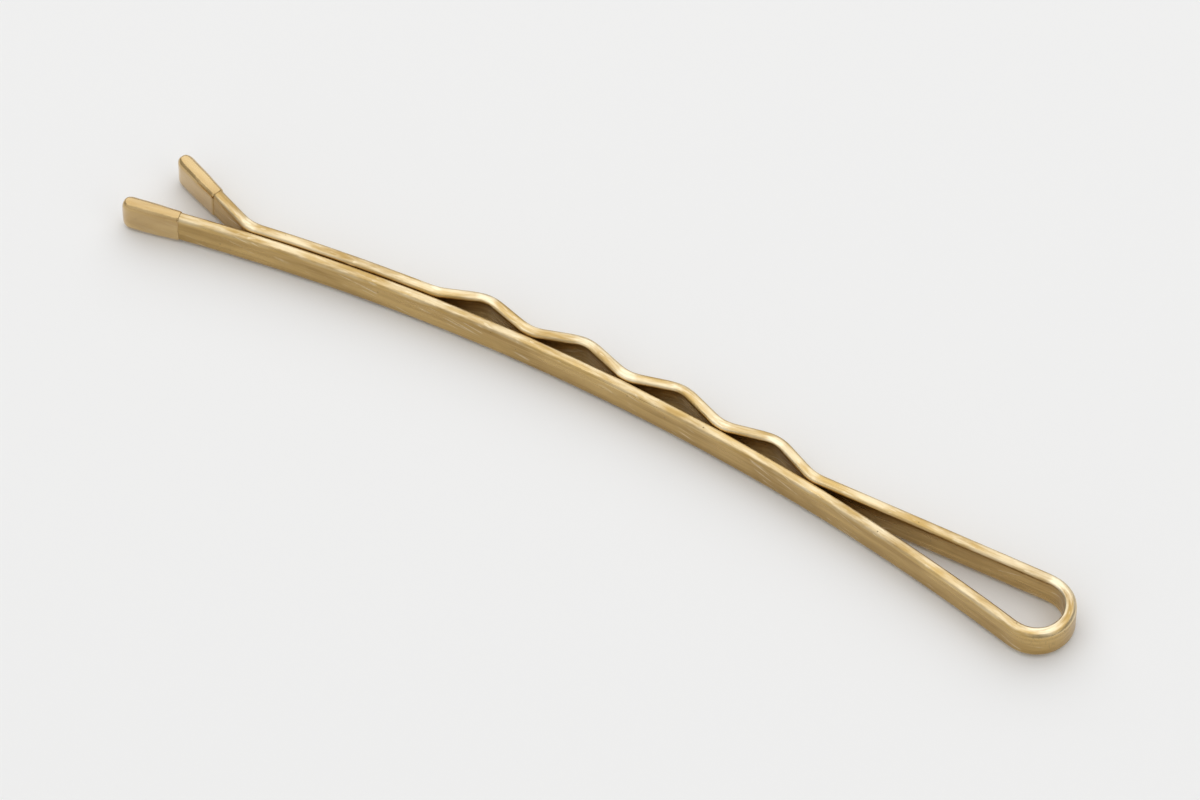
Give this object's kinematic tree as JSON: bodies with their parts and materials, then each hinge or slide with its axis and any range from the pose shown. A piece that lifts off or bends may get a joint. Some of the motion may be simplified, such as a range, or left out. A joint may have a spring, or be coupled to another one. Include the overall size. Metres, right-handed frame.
{
  "type": "bobby pin",
  "caption": "Flat-wire hair grip: a round head loop joins a bowed straight leg to a crimped leg with a flared toe; the legs spring apart and grip, and a lacquer drop covers each cut end.",
  "frame": {"origin": "centre of the eye inside the head loop, at mid width of the wire", "axes": "+X from the head to the tips, +Y from the crimped leg to the straight leg, +Z along the wire's width, so the pin lies on its side"},
  "size_m": [0.0502, 0.0061, 0.0018],
  "materials": {
    "gold_wire": "satin champagne-gold lacquer on flat-rolled spring steel",
    "tip_lacquer": "glossy gold dipped lacquer drop"
  },
  "bodies": {
    "head": {"head_loop": "gold_wire"},
    "straight_side": {"straight_leg": "gold_wire", "straight_leg_tip": "tip_lacquer"},
    "crimped_side": {"crimped_leg": "gold_wire", "crimped_leg_tip": "tip_lacquer"}
  },
  "joints": [
    {"name": "straight_leg_flex", "type": "hinge", "parent": "head", "child": "straight_side", "pos_m": [0.00727, 0.00022, 0], "axis": [0, 0, 1], "range_deg": [0, 12], "stiffness_Nm_per_rad": 0.253},
    {"name": "crimped_leg_flex", "type": "hinge", "parent": "head", "child": "crimped_side", "pos_m": [0.007, -0.00185, 0], "axis": [0, 0, -1], "range_deg": [0, 12], "stiffness_Nm_per_rad": 0.253}
  ]
}
